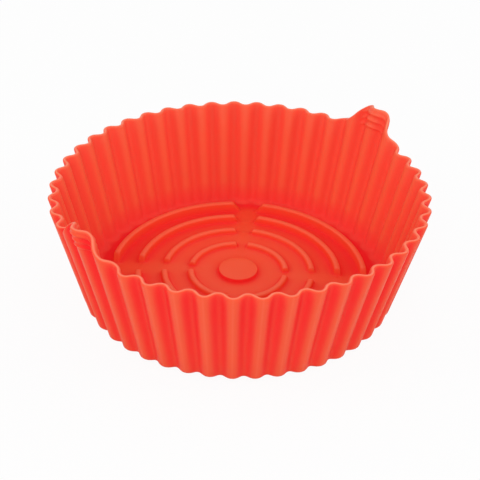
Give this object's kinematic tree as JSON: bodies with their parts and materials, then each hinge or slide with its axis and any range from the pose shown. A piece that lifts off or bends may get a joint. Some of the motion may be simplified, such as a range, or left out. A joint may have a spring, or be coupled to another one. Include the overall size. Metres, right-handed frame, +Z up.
{
  "type": "air fryer liner",
  "caption": "Round moulded basket liner with a fluted leaning wall, a raised floor with broken ring ribs and a centre disc, and two ridged lifting tabs.",
  "frame": {"origin": "centre of the round base, on the surface the liner stands on", "axes": "+Z up through the open mouth, X through the two lifting tabs"},
  "size_m": [0.214, 0.206, 0.0784],
  "materials": {
    "liner": "satin"
  },
  "bodies": {
    "root": {"liner": "liner"}
  },
  "joints": []
}
